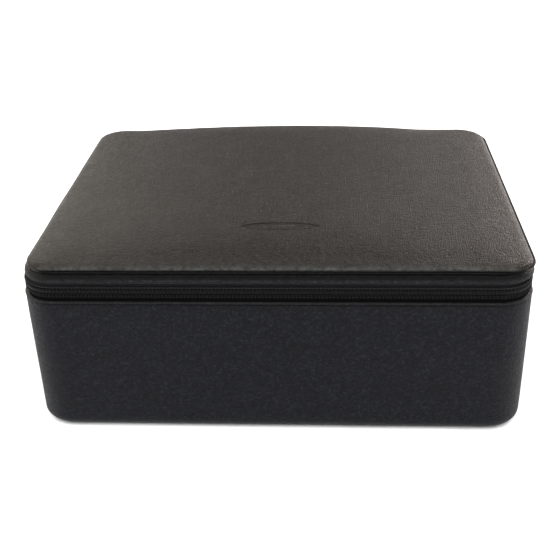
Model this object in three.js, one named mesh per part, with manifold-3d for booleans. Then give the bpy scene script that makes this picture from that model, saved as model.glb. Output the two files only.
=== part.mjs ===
// Black leather jewellery case: a soft-edged box whose padded lid closes with a coil zip.
// Millimetres. +Z up, +X right, -Y is the front. The origin is the middle of the underside.
// A ring is described by its insets, which are distances inwards from the outside faces.
import * as THREE from 'three';
import { mergeVertices } from 'three/addons/utils/BufferGeometryUtils.js';
import Module from 'manifold-3d';

const wasm = await Module();
wasm.setup();

// ---- Driving dimensions ----
const WIDTH = 280;
const DEPTH = 220;
const CORNER_RADIUS = 20;
const GAP = 0.3;
const ARC_STEPS = 3;
const FAR = 400;
const WELD = 0.05;
const JOIN_OVERLAP = 0.5;

// Layers of the side walls, as insets from the outside
const LEATHER_THICK = 2.0;
const TAPE_THICK = 0.6;
const TAPE_INSET = LEATHER_THICK + GAP;
const BOARD_INSET = TAPE_INSET + TAPE_THICK + GAP;
const BOARD_THICK = 4.0;
const LINING_INSET = BOARD_INSET + BOARD_THICK + GAP;
const LINING_THICK = 1.0;
const INSIDE_INSET = LINING_INSET + LINING_THICK + GAP;

// Heights of the base
const COVER_THICK = 1.0;
const COVER_INSET = 6;
const BASE_BOTTOM_RADIUS = 5;
const BASE_BOTTOM_STEPS = 4;
const WRAP_BOTTOM_Z = COVER_THICK + GAP;
const WRAP_FLANGE_INSET = 16;
const BASE_RIM_Z = 84.2;
const BINDING_HEIGHT = 2.9;
const BINDING_EDGE = 0.7;
const WRAP_TOP_Z = BASE_RIM_Z - BINDING_HEIGHT - GAP;
const FLOOR_BOARD_Z = WRAP_BOTTOM_Z + LEATHER_THICK + GAP;
const FLOOR_BOARD_THICK = 3.0;
const WALL_Z = FLOOR_BOARD_Z + FLOOR_BOARD_THICK + GAP;
const WALL_TOP_Z = BASE_RIM_Z - GAP;
const LEDGE_THICK = 0.8;
const LIP_TOP_Z = 89.5;
const TAPE_LOW_Z = 72;

// Zip, centred in the opening between the base and the lid
const ZIP_Z = 90;
const ZIP_SPLIT = 0.5;
const COIL_HEIGHT = 2.8;
const COIL_INSET = 0.9;
const COIL_THICK = TAPE_INSET - GAP - COIL_INSET;
const COIL_END_Y = 104;
const TAPE_END_Y = 106;

// Heights of the lid
const BAND_Z = 95.6;
const BAND_TOP_Z = 99.9;
const BAND_INSET = 0.4;
const BAND_EDGE = 0.5;
const PIPING_THICK = 1.6;
const PIPING_EDGE = 0.6;
const PIPING_INSET = 1.2;
const LID_LIP_Z = 90.1;
const TOP_BOARD_THICK = 1.8;
const TOP_BOARD_INSET = 4.1;
const PANEL_INSET = 2.0;
const PANEL_Z = BAND_TOP_Z + PIPING_THICK + 2 * GAP;
const PANEL_EDGE_Z = 104.2;
const PANEL_EDGE_RADIUS = 1.0;
const CROWN = 6.8;
const COVER_LEATHER = 1.2;

// Hinge along the back, level with the middle of the zip
const HINGE_Z = 89.9;
const HINGE_CLEARANCE = 0.45;
const HINGE_STRIP_END_Y = TAPE_END_Y + GAP;

// Inside of the base
const DIVIDER_THICK = 4;
const DIVIDER_TOP_Z = 80;
const PAD_THICK = 1.5;
const LONG_DIVIDER_X = -44;
const RAISED_FLOOR_Z = 38.3;
const RAISED_FLOOR_THICK = 2.5;
const RAISED_PAD_THICK = 1.2;
const SUPPORT_Y = 60;
const MIDDLE_DIVIDER_Y = 2;
const RING_ROLLS = 6;
const RING_ROLL_RADIUS = 7.7;
const RING_ROLL_PITCH = 15.9;
const RING_ROLL_END_ROOM = 8;
const RING_BED_THICK = 9.5;

// Mirror in the lid
const MIRROR_SIZE = [170, 110, 2];
const MIRROR_RADIUS = 8;
const FRAME_BORDER = 7;
const FRAME_LIP = 3;
const FRAME_FACE = 0.8;

// Zip slider, parked at the back of the left side
const SLIDER_Y = 76;
const SLIDER_LENGTH = 13;
const PLATE_HEIGHT = 10.4;
const OUTER_PLATE_INSET = -0.8;
const OUTER_PLATE_THICK = 1.4;
const INNER_PLATE_INSET = TAPE_INSET + TAPE_THICK + GAP;
const INNER_PLATE_THICK = 1.2;
const INNER_PLATE_HEIGHT = 9;
const WEB_LENGTH = 5;
const WEB_THICK = 0.5;
const BAIL_LENGTH = 8;
const BAIL_WIDTH = 1.8;
const BAIL_REACH = 3.4;
const BAIL_WIRE = 1.1;
const PULL_PIVOT_X = -WIDTH / 2 - 1.85; // inside the bail's eye
const PULL_BAR_RADIUS = 0.6;
const PULL_ARM_REACH = 11;
const PULL_ARM_SPREAD = 2.6;
const TAB_LENGTH = 27;
const TAB_WIDTH = 9;
const TAB_THICK = 2;
const TAB_SHOULDER = 0.7;
const RIVET_RADIUS = 1.6;
const RIVET_PROUD = 0.2;
const RIVET_SETBACK = 5;

// ---- Materials ----
const finish = (color, roughness, metalness = 0) =>
  new THREE.MeshStandardMaterial({ color, roughness, metalness });
const blackLeather = finish(0x232325, 0.55);
const greyBoard = finish(0x8c8478, 0.9);
const foam = finish(0xd8d2c4, 0.95);
const zipTape = finish(0x161617, 0.9);
const zipNylon = finish(0x1b1b1d, 0.45);
const suede = finish(0x2b2a2c, 0.95);
const velvet = finish(0x333135, 0.95);
const mirrorGlass = finish(0xdde2e4, 0.03, 1);
const gunmetal = finish(0x55565a, 0.3, 1);

// ---- Shape helpers ----
/** Rounded outline of the case, moved inwards by an inset. */
function outline(inset, Path = THREE.Shape) {
  const x = WIDTH / 2 - inset;
  const y = DEPTH / 2 - inset;
  const r = Math.max(CORNER_RADIUS - inset, 2);
  const path = new Path();
  path.moveTo(x, -y + r);
  path.absarc(x - r, y - r, r, 0, Math.PI / 2, false);
  path.absarc(-x + r, y - r, r, Math.PI / 2, Math.PI, false);
  path.absarc(-x + r, -y + r, r, Math.PI, 1.5 * Math.PI, false);
  path.absarc(x - r, -y + r, r, 1.5 * Math.PI, 2 * Math.PI, false);
  return path;
}

/** Upright extrusion of a shape between two heights, with its edges eased by bevel. */
function extrude(shape, lowZ, highZ, bevel = 0, bevelSegments = 3) {
  const geometry = new THREE.ExtrudeGeometry(shape, {
    depth: highZ - lowZ - 2 * bevel,
    curveSegments: ARC_STEPS,
    bevelEnabled: bevel > 0,
    bevelThickness: bevel,
    bevelSize: bevel,
    bevelSegments,
  });
  return geometry.translate(0, 0, lowZ + bevel);
}

/** Solid slab with the case's outline. */
function slab(inset, lowZ, highZ, bevel = 0, bevelSegments = 3) {
  return extrude(outline(inset + bevel), lowZ, highZ, bevel, bevelSegments);
}

/** Ring with the case's outline, from the outer inset to the inner one. */
function ring(outerInset, innerInset, lowZ, highZ, bevel = 0) {
  const shape = outline(outerInset + bevel);
  shape.holes.push(outline(innerInset - bevel, THREE.Path));
  return extrude(shape, lowZ, highZ, bevel, 2);
}

/** Box between two corners. */
function block(low, high) {
  const size = high.map((value, i) => value - low[i]);
  const middle = high.map((value, i) => (value + low[i]) / 2);
  return new THREE.BoxGeometry(...size).translate(...middle);
}

/** Upright plate with rounded corners, centred on the Z axis. */
function roundedPlate(width, depth, radius, lowZ, highZ) {
  const x = width / 2 - radius;
  const y = depth / 2 - radius;
  const shape = new THREE.Shape();
  shape.absarc(x, y, radius, 0, Math.PI / 2, false);
  shape.absarc(-x, y, radius, Math.PI / 2, Math.PI, false);
  shape.absarc(-x, -y, radius, Math.PI, 1.5 * Math.PI, false);
  shape.absarc(x, -y, radius, 1.5 * Math.PI, 2 * Math.PI, false);
  return extrude(shape, lowZ, highZ);
}

/** Low dome on the case's outline, flat at its rim and crowned in the middle. */
function dome(inset, lowZ, rimZ) {
  const columns = 10;
  const rows = 8;
  const halfX = WIDTH / 2 - inset;
  const halfY = DEPTH / 2 - inset;
  const corner = CORNER_RADIUS - inset;
  const geometry = new THREE.BoxGeometry(2, 2, 1, columns, rows, 1);
  const position = geometry.attributes.position;
  for (let i = 0; i < position.count; i += 1) {
    const u = Math.sin((position.getX(i) * Math.PI) / 2);
    const v = Math.sin((position.getY(i) * Math.PI) / 2);
    const [x, y] = roundCorner(u * halfX, v * halfY, halfX - corner, halfY - corner);
    const topZ = rimZ + CROWN * (1 - u ** 2) * (1 - v ** 6);
    position.setXYZ(i, x, y, position.getZ(i) > 0 ? topZ : lowZ);
  }
  return geometry;
}

/** Flat slab with the dome on top of it. */
function crownedSlab(inset, lowZ, rimZ, edgeRadius, domeInset) {
  const middleZ = (lowZ + rimZ) / 2;
  return join(slab(inset, lowZ, rimZ, edgeRadius), dome(domeInset, middleZ, rimZ - WELD));
}

/** Moves a point of a square corner onto a round one that starts at cornerX and cornerY. */
function roundCorner(x, y, cornerX, cornerY) {
  const overX = Math.abs(x) - cornerX;
  const overY = Math.abs(y) - cornerY;
  if (overX <= 0 || overY <= 0) return [x, y];
  const shrink = Math.max(overX, overY) / Math.hypot(overX, overY);
  return [Math.sign(x) * (cornerX + overX * shrink), Math.sign(y) * (cornerY + overY * shrink)];
}

/** Closed solid for joining and cutting, from a closed geometry. */
function solid(geometry) {
  const bare = geometry.clone();
  bare.deleteAttribute('normal');
  bare.deleteAttribute('uv');
  const merged = mergeVertices(bare, 1e-4);
  return new wasm.Manifold(
    new wasm.Mesh({
      numProp: 3,
      vertProperties: new Float32Array(merged.attributes.position.array),
      triVerts: new Uint32Array(merged.index.array),
    }),
  );
}

/** Geometry of a solid after joining and cutting. */
function geometryOf(manifold) {
  const mesh = manifold.getMesh();
  const geometry = new THREE.BufferGeometry();
  geometry.setAttribute('position', new THREE.BufferAttribute(mesh.vertProperties, 3));
  geometry.setIndex(new THREE.BufferAttribute(mesh.triVerts, 1));
  geometry.computeVertexNormals();
  return geometry;
}

const cut = (body, ...tools) =>
  geometryOf(tools.reduce((left, tool) => left.subtract(solid(tool)), solid(body)));
const join = (body, ...others) =>
  geometryOf(others.reduce((whole, other) => whole.add(solid(other)), solid(body)));
const common = (a, b) => geometryOf(solid(a).intersect(solid(b)));

/** Everything behind a plane of constant Y. */
const behind = (y) => block([-FAR, y, -FAR], [FAR, FAR, FAR]);

// ---- The case ----
const jewelleryCase = new THREE.Group();

function add(name, geometry, material) {
  const mesh = new THREE.Mesh(geometry, material);
  mesh.name = name;
  jewelleryCase.add(mesh);
}

function addBaseShell() {
  add('bottom_cover', slab(COVER_INSET, 0, COVER_THICK), blackLeather);
  const outside = slab(0, WRAP_BOTTOM_Z, FAR, BASE_BOTTOM_RADIUS, BASE_BOTTOM_STEPS);
  const inside = slab(
    LEATHER_THICK,
    WRAP_BOTTOM_Z + LEATHER_THICK,
    FAR + 1,
    BASE_BOTTOM_RADIUS - LEATHER_THICK,
    BASE_BOTTOM_STEPS,
  );
  const middle = slab(WRAP_FLANGE_INSET, -1, FAR + 2);
  const above = block([-FAR, -FAR, WRAP_TOP_Z], [FAR, FAR, 2 * FAR]);
  add('base_leather_wrap', cut(outside, inside, middle, above), blackLeather);
  const binding = ring(0, LEATHER_THICK, WRAP_TOP_Z + GAP, BASE_RIM_Z, BINDING_EDGE);
  add('base_edge_binding', binding, blackLeather);
  const floorTop = FLOOR_BOARD_Z + FLOOR_BOARD_THICK;
  add('floor_board', slab(COVER_INSET, FLOOR_BOARD_Z, floorTop), greyBoard);
  const backing = ring(TAPE_INSET, TAPE_INSET + TAPE_THICK, WALL_Z, TAPE_LOW_Z - GAP);
  add('wall_foam', backing, foam);
  const boardBack = BOARD_INSET + BOARD_THICK;
  add('wall_board', ring(BOARD_INSET, boardBack, WALL_Z, WALL_TOP_Z), greyBoard);
  add('wall_lining', liningRing(WALL_Z, LIP_TOP_Z, BASE_RIM_Z, BASE_RIM_Z + LEDGE_THICK), suede);
}

/** Lining of a wall, with a ledge over the board's edge. Its lip behind the zip stops at the back. */
function liningRing(lowZ, highZ, ledgeLowZ, ledgeHighZ) {
  const wall = ring(LINING_INSET, LINING_INSET + LINING_THICK, lowZ, highZ);
  const ledge = ring(BOARD_INSET, LINING_INSET + LINING_THICK / 2, ledgeLowZ, ledgeHighZ);
  const lipAbove = ledgeLowZ < ZIP_Z;
  const lipLowZ = lipAbove ? ledgeHighZ : -FAR;
  const lipHighZ = lipAbove ? FAR : ledgeLowZ;
  const hingeSide = block([-FAR, DEPTH / 2 - CORNER_RADIUS, lipLowZ], [FAR, FAR, lipHighZ]);
  return geometryOf(solid(wall).add(solid(ledge)).subtract(solid(hingeSide)));
}

function addZip() {
  const tapeBack = TAPE_INSET + TAPE_THICK;
  const coilBack = COIL_INSET + COIL_THICK;
  const lowerTop = ZIP_Z - ZIP_SPLIT;
  const upperLow = ZIP_Z + ZIP_SPLIT;
  const tapeRear = behind(TAPE_END_Y);
  const coilRear = behind(COIL_END_Y);
  const lowerTape = ring(TAPE_INSET, tapeBack, TAPE_LOW_Z, lowerTop);
  const upperTape = ring(TAPE_INSET, tapeBack, upperLow, BAND_TOP_Z - GAP);
  const lowerCoil = ring(COIL_INSET, coilBack, lowerTop - COIL_HEIGHT, lowerTop);
  const upperCoil = ring(COIL_INSET, coilBack, upperLow, upperLow + COIL_HEIGHT);
  add('zip_tape_lower', cut(lowerTape, tapeRear), zipTape);
  add('zip_tape_upper', cut(upperTape, tapeRear), zipTape);
  add('zip_coil_lower', cut(lowerCoil, coilRear), zipNylon);
  add('zip_coil_upper', cut(upperCoil, coilRear), zipNylon);
}

function addHinge() {
  const stripBack = TAPE_INSET + TAPE_THICK;
  const lowerTop = HINGE_Z - HINGE_CLEARANCE;
  const upperLow = HINGE_Z + HINGE_CLEARANCE;
  const rear = behind(HINGE_STRIP_END_Y);
  const lower = ring(TAPE_INSET, stripBack, TAPE_LOW_Z, lowerTop);
  const upper = ring(TAPE_INSET, stripBack, upperLow, BAND_TOP_Z - GAP);
  add('hinge_strip_lower', common(lower, rear), blackLeather);
  add('hinge_strip_upper', common(upper, rear), blackLeather);
  const liningBack = BOARD_INSET + TAPE_THICK;
  const liningRear = behind(HINGE_STRIP_END_Y - TAPE_THICK);
  const liningLowZ = BASE_RIM_Z + LEDGE_THICK + GAP;
  const liningHighZ = BAND_Z - LEDGE_THICK - GAP;
  const lowerLining = ring(BOARD_INSET, liningBack, liningLowZ, lowerTop);
  const upperLining = ring(BOARD_INSET, liningBack, upperLow, liningHighZ);
  add('hinge_lining_lower', common(lowerLining, liningRear), suede);
  add('hinge_lining_upper', common(upperLining, liningRear), suede);
}

function addInsert() {
  const floorZ = WALL_Z + PAD_THICK;
  const low = floorZ + GAP;
  const inside = (geometry) => common(geometry, slab(INSIDE_INSET, -FAR, FAR));
  const halfX = WIDTH / 2 - INSIDE_INSET;
  const halfY = DEPTH / 2 - INSIDE_INSET;
  const half = DIVIDER_THICK / 2;
  const leftFace = LONG_DIVIDER_X - half - GAP;
  const rightFace = LONG_DIVIDER_X + half + GAP;
  add('floor_pad', slab(INSIDE_INSET, WALL_Z, floorZ), suede);
  const longDivider = block(
    [LONG_DIVIDER_X - half, -halfY, low],
    [LONG_DIVIDER_X + half, halfY, DIVIDER_TOP_Z],
  );
  add('long_divider', longDivider, suede);
  add('cross_divider', block([-halfX, -half, low], [leftFace, half, DIVIDER_TOP_Z]), suede);

  const supportTop = RAISED_FLOOR_Z - GAP;
  for (const [side, y] of [['front', -SUPPORT_Y], ['rear', SUPPORT_Y]]) {
    const support = block([rightFace, y - half, low], [halfX, y + half, supportTop]);
    add(`floor_support_${side}`, support, greyBoard);
  }
  const boardTop = RAISED_FLOOR_Z + RAISED_FLOOR_THICK;
  const padTop = boardTop + GAP + RAISED_PAD_THICK;
  const raised = (lowZ, highZ) => block([rightFace, -halfY, lowZ], [halfX, halfY, highZ]);
  add('raised_floor', inside(raised(RAISED_FLOOR_Z, boardTop)), greyBoard);
  add('raised_floor_pad', inside(raised(boardTop + GAP, padTop)), suede);

  const upperLow = padTop + GAP;
  const middleFront = MIDDLE_DIVIDER_Y - half;
  const middleBack = MIDDLE_DIVIDER_Y + half;
  const middle = block([rightFace, middleFront, upperLow], [halfX, middleBack, DIVIDER_TOP_Z]);
  add('middle_divider', middle, suede);
  const third = (halfX - rightFace) / 3;
  for (const [side, count] of [['left', 1], ['right', 2]]) {
    const x = rightFace + count * third;
    const dividerLow = [x - half, -halfY, upperLow];
    const dividerHigh = [x + half, middleFront - GAP, DIVIDER_TOP_Z];
    add(`small_divider_${side}`, block(dividerLow, dividerHigh), suede);
  }
  addRingRolls(rightFace, halfX, middleBack + GAP, halfY, upperLow, inside);
}

function addRingRolls(lowX, highX, lowY, highY, lowZ, inside) {
  const bedTop = lowZ + RING_BED_THICK;
  add('ring_bed', inside(block([lowX, lowY, lowZ], [highX, highY, bedTop])), foam);
  const middleY = (lowY + highY) / 2;
  const rollX = (lowX + highX) / 2;
  const rollLength = highX - lowX - 2 * RING_ROLL_END_ROOM;
  for (let i = 0; i < RING_ROLLS; i += 1) {
    const y = middleY + (i - (RING_ROLLS - 1) / 2) * RING_ROLL_PITCH;
    const roll = new THREE.CylinderGeometry(RING_ROLL_RADIUS, RING_ROLL_RADIUS, rollLength, 20);
    roll.rotateZ(Math.PI / 2);
    roll.translate(rollX, y, bedTop + GAP + RING_ROLL_RADIUS);
    add(`ring_roll_${i + 1}`, roll, velvet);
  }
}

function addLid() {
  const band = ring(BAND_INSET, LEATHER_THICK, BAND_Z, BAND_TOP_Z, BAND_EDGE);
  add('lid_side_band', band, blackLeather);
  const pipingZ = BAND_TOP_Z + GAP;
  const pipingInner = PIPING_INSET + PIPING_THICK;
  const piping = ring(PIPING_INSET, pipingInner, pipingZ, pipingZ + PIPING_THICK, PIPING_EDGE);
  add('lid_edge_piping', piping, blackLeather);
  const rimBack = BOARD_INSET + BOARD_THICK;
  add('lid_rim_board', ring(BOARD_INSET, rimBack, BAND_Z + GAP, BAND_TOP_Z), greyBoard);
  const boardTop = pipingZ + TOP_BOARD_THICK;
  add('lid_top_board', slab(TOP_BOARD_INSET, pipingZ, boardTop), greyBoard);

  const coverInside = PANEL_INSET + COVER_LEATHER;
  const underEdge = PANEL_EDGE_Z - COVER_LEATHER;
  const domeInset = PANEL_INSET + PANEL_EDGE_RADIUS;
  const hollowDome = domeInset + COVER_LEATHER;
  const outside = crownedSlab(PANEL_INSET, PANEL_Z, PANEL_EDGE_Z, PANEL_EDGE_RADIUS, domeInset);
  const hollow = crownedSlab(coverInside, PANEL_Z - 1, underEdge, 0, hollowDome);
  add('lid_top_cover', cut(outside, hollow), blackLeather);
  const foamInset = coverInside + GAP;
  const foamPad = crownedSlab(foamInset, boardTop + GAP, underEdge - GAP, 0, hollowDome + GAP);
  add('lid_foam', foamPad, foam);

  const ledgeLowZ = BAND_Z - LEDGE_THICK;
  add('lid_wall_lining', liningRing(LID_LIP_Z, BAND_TOP_Z, ledgeLowZ, BAND_Z), suede);
  const panelLow = BAND_TOP_Z - PAD_THICK;
  add('lid_lining_panel', slab(INSIDE_INSET, panelLow, BAND_TOP_Z), suede);
  addMirror(panelLow - GAP);
}

function addMirror(highZ) {
  const [width, depth, thick] = MIRROR_SIZE;
  const lowZ = highZ - thick - GAP;
  const grow = 2 * GAP;
  const mirror = roundedPlate(width, depth, MIRROR_RADIUS, highZ - thick, highZ);
  add('lid_mirror', mirror, mirrorGlass);
  const outer = roundedPlate(
    width + 2 * FRAME_BORDER,
    depth + 2 * FRAME_BORDER,
    MIRROR_RADIUS + FRAME_BORDER,
    lowZ - FRAME_FACE,
    highZ,
  );
  const pocket = roundedPlate(width + grow, depth + grow, MIRROR_RADIUS + GAP, lowZ, FAR);
  const window = roundedPlate(
    width - 2 * FRAME_LIP,
    depth - 2 * FRAME_LIP,
    MIRROR_RADIUS - FRAME_LIP,
    -FAR,
    FAR,
  );
  add('mirror_frame', cut(outer, pocket, window), blackLeather);
}

/** X of a plane at an inset from the left face. */
const leftX = (inset) => -WIDTH / 2 + inset;

function addSlider() {
  const y0 = SLIDER_Y - SLIDER_LENGTH / 2;
  const y1 = SLIDER_Y + SLIDER_LENGTH / 2;
  const outerFace = leftX(OUTER_PLATE_INSET);
  const outerBack = leftX(OUTER_PLATE_INSET + OUTER_PLATE_THICK);
  const innerFace = leftX(INNER_PLATE_INSET);
  const innerBack = leftX(INNER_PLATE_INSET + INNER_PLATE_THICK);
  const plate = (x0, x1, height) =>
    block([x0, y0, ZIP_Z - height / 2], [x1, y1, ZIP_Z + height / 2]);
  const web = block(
    [outerBack - JOIN_OVERLAP, y0, ZIP_Z - WEB_THICK / 2],
    [innerFace + JOIN_OVERLAP, y0 + WEB_LENGTH, ZIP_Z + WEB_THICK / 2],
  );
  const bailX = outerFace - BAIL_REACH;
  const bail = block(
    [bailX, SLIDER_Y - BAIL_LENGTH / 2, ZIP_Z - BAIL_WIDTH / 2],
    [outerFace + JOIN_OVERLAP, SLIDER_Y + BAIL_LENGTH / 2, ZIP_Z + BAIL_WIDTH / 2],
  );
  const eye = block(
    [bailX + BAIL_WIRE, SLIDER_Y - BAIL_LENGTH / 2 + BAIL_WIRE, ZIP_Z - BAIL_WIDTH],
    [outerFace, SLIDER_Y + BAIL_LENGTH / 2 - BAIL_WIRE, ZIP_Z + BAIL_WIDTH],
  );
  const plates = join(
    plate(outerFace, outerBack, PLATE_HEIGHT),
    plate(innerFace, innerBack, INNER_PLATE_HEIGHT),
    web,
  );
  add('slider_body', join(plates, cut(bail, eye)), gunmetal);
}

function addPull() {
  const x = PULL_PIVOT_X;
  const r = PULL_BAR_RADIUS;
  const outer = PULL_ARM_SPREAD + r;
  const bar = (y) => {
    const rod = new THREE.CylinderGeometry(r, r, 2 * outer, 12);
    return rod.rotateX(Math.PI / 2).translate(x, y, ZIP_Z);
  };
  const arm = (z) =>
    block([x - r, SLIDER_Y - PULL_ARM_REACH, z - r], [x + r, SLIDER_Y, z + r]);
  const farBar = SLIDER_Y - PULL_ARM_REACH;
  const top = ZIP_Z + PULL_ARM_SPREAD;
  const bottom = ZIP_Z - PULL_ARM_SPREAD;
  add('pull_link', join(bar(SLIDER_Y), bar(farBar), arm(top), arm(bottom)), gunmetal);

  addPullTab(x, farBar, r + GAP, top, bottom);
}

/** Leather tab folded round the link's far bar and riveted, notched to let the arms through. */
function addPullTab(x, barY, barRoom, armTop, armBottom) {
  const tabTop = barY + barRoom + TAB_SHOULDER;
  const tab = block(
    [x - TAB_THICK / 2, tabTop - TAB_LENGTH, ZIP_Z - TAB_WIDTH / 2],
    [x + TAB_THICK / 2, tabTop, ZIP_Z + TAB_WIDTH / 2],
  );
  const besideArm = (lowZ, highZ) =>
    block([x - FAR, barY - barRoom, lowZ], [x + FAR, FAR, highZ]);
  const barHole = block(
    [x - barRoom, barY - barRoom, ZIP_Z - FAR],
    [x + barRoom, barY + barRoom, ZIP_Z + FAR],
  );
  const rivetY = barY - RIVET_SETBACK;
  const rivetHole = cylinderAcross(x, rivetY, RIVET_RADIUS + GAP, FAR);
  const notched = cut(
    tab,
    besideArm(armTop - barRoom, FAR),
    besideArm(-FAR, armBottom + barRoom),
    barHole,
    rivetHole,
  );
  add('pull_tab', notched, blackLeather);
  const rivet = cylinderAcross(x, rivetY, RIVET_RADIUS, TAB_THICK + 2 * RIVET_PROUD);
  add('pull_rivet', rivet, gunmetal);
}

/** Cylinder along X, at the height of the zip. */
function cylinderAcross(x, y, radius, length) {
  const cylinder = new THREE.CylinderGeometry(radius, radius, length, 16);
  return cylinder.rotateZ(Math.PI / 2).translate(x, y, ZIP_Z);
}

addBaseShell();
addZip();
addHinge();
addInsert();
addLid();
addSlider();
addPull();

export default jewelleryCase;
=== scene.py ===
"""Looks of the zipped leather jewellery case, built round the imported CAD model.

Metres, +Z up, -Y is the front. Rings follow the case's outline, and an inset is the
distance inwards from the outside faces. Shapes are worked out in millimetres.
"""

import math

import bmesh
import bpy
import numpy as np
from mathutils import Matrix, Vector, noise


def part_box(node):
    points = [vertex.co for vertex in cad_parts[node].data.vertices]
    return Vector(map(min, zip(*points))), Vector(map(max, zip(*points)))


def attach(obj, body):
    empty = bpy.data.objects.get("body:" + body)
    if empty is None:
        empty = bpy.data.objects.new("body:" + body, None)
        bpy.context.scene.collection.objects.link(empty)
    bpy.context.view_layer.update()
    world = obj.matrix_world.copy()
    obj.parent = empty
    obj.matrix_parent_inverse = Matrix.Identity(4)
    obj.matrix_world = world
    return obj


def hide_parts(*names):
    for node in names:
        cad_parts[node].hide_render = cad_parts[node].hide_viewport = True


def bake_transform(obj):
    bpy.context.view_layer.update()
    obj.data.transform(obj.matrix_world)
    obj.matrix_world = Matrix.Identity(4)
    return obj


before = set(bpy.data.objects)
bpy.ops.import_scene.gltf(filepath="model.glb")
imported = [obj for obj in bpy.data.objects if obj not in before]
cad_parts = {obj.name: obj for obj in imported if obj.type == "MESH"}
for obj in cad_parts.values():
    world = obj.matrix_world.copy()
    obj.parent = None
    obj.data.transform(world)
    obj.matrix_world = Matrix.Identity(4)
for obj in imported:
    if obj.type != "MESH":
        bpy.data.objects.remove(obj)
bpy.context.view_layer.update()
MM = 0.001


def box_mm(node):
    """Lowest and highest corner of a CAD node, in millimetres."""
    low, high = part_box(node)
    return np.array(low) / MM, np.array(high) / MM


def middle_and_half(node):
    """Middle and half size of a CAD node, in millimetres."""
    low, high = box_mm(node)
    return (low + high) / 2, (high - low) / 2


# ---- Measures, in millimetres ----
HALF_X, HALF_Y = box_mm("base_leather_wrap")[1][:2]
CORNER = 20.0
WRAP_LOW = box_mm("base_leather_wrap")[0][2]
RIM_Z = box_mm("base_edge_binding")[1][2]
WRAP_TOP = RIM_Z - 1.2
BAND_LOW, BAND_TOP = box_mm("lid_side_band")[0][2], box_mm("lid_side_band")[1][2]
INSIDE = 8.8
ZIP_Z = 90.0
HINGE_Z = 89.9
PITCH = 2.0
COIL_END_Y = box_mm("zip_coil_lower")[1][1]
TAPE_END_Y = box_mm("zip_tape_lower")[1][1]


# ---- Materials ----
class Shader:
    """A node material with one Principled shader, built up node by node."""

    def __init__(self, name, **sockets):
        self.material = bpy.data.materials.new(name)
        self.material.use_nodes = True
        self.tree = self.material.node_tree
        self.tree.nodes.clear()
        self.out = self.tree.nodes.new("ShaderNodeOutputMaterial")
        self.bsdf = self.tree.nodes.new("ShaderNodeBsdfPrincipled")
        self.tree.links.new(self.bsdf.outputs[0], self.out.inputs[0])
        for socket, value in sockets.items():
            self.bsdf.inputs[socket.replace("_", " ")].default_value = value
        self.place = self.node("TexCoord").outputs["Object"]

    def node(self, kind, inputs=None, **settings):
        node = self.tree.nodes.new("ShaderNode" + kind)
        for key, value in settings.items():
            setattr(node, key, value)
        for key, value in (inputs or {}).items():
            if hasattr(value, "is_linked"):
                self.tree.links.new(value, node.inputs[key])
            else:
                node.inputs[key].default_value = value
        return node

    def maths(self, operation, a, b=0.0):
        return self.node("Math", {0: a, 1: b}, operation=operation).outputs[0]

    def noise(self, scale, detail=2.0, rough=0.5, vector=None):
        inputs = {"Vector": vector or self.place, "Scale": scale, "Detail": detail, "Roughness": rough}
        return self.node("TexNoise", inputs).outputs["Fac"]

    def spread(self, value, low, high, to_low, to_high):
        inputs = {"Value": value, "From Min": low, "From Max": high, "To Min": to_low, "To Max": to_high}
        return self.node("MapRange", inputs, clamp=True).outputs["Result"]

    def blend(self, factor, a, b):
        node = self.node("Mix", data_type="RGBA")
        for socket, value in zip((node.inputs[0], node.inputs[6], node.inputs[7]), (factor, a, b)):
            if hasattr(value, "is_linked"):
                self.tree.links.new(value, socket)
            elif isinstance(value, float):
                socket.default_value = value
            else:
                socket.default_value = (*value, 1.0)
        return node.outputs[2]

    def total(self, *terms):
        """Sum of values, each given with its weight."""
        result = 0.0
        for value, weight in terms:
            result = self.node("Math", {0: value, 1: weight, 2: result}, operation="MULTIPLY_ADD").outputs[0]
        return result

    def use(self, socket, value):
        self.tree.links.new(value, self.bsdf.inputs[socket])

    def bump(self, height, strength, depth_mm):
        inputs = {"Height": height, "Strength": strength, "Distance": depth_mm * MM}
        self.use("Normal", self.node("Bump", inputs).outputs[0])

    def pebbles(self, scale):
        """How far inside its cell of a wandering pattern each place is, and a random value per cell."""
        drift = self.node("TexNoise", {"Vector": self.place, "Scale": 320.0, "Detail": 1.0}).outputs["Color"]
        wander = self.node("VectorMath", {0: drift, 1: (0.0009,) * 3}, operation="MULTIPLY").outputs[0]
        warped = self.node("VectorMath", {0: self.place, 1: wander}, operation="ADD").outputs[0]
        sizes = {"Vector": warped, "Scale": scale, "Randomness": 0.9}
        cells = self.node("TexVoronoi", sizes, feature="DISTANCE_TO_EDGE").outputs["Distance"]
        each = self.node("SeparateColor", {0: self.node("TexVoronoi", sizes).outputs["Color"]}).outputs[0]
        return self.spread(cells, 0.0, 0.26, 0.0, 1.0), each

    def paint_side_sheen(self, colour, side_sheen, start_mm, end_mm):
        """Painted sheen: a lighter, warmer colour towards the left and right ends."""
        across = self.node("SeparateXYZ", {0: self.place}).outputs[0]
        side = self.spread(self.maths("ABSOLUTE", across), start_mm * MM, end_mm * MM, 0.0, 1.0)
        return self.blend(self.maths("MULTIPLY", side, side), colour, side_sheen)

    def along(self):
        """Distance along and across a swept piece, in millimetres."""
        split = self.node("SeparateXYZ", {0: self.node("UVMap", uv_map="run").outputs[0]})
        return split.outputs[0], split.outputs[1]


def shade(colour, factor):
    return tuple(factor * c for c in colour)


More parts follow.
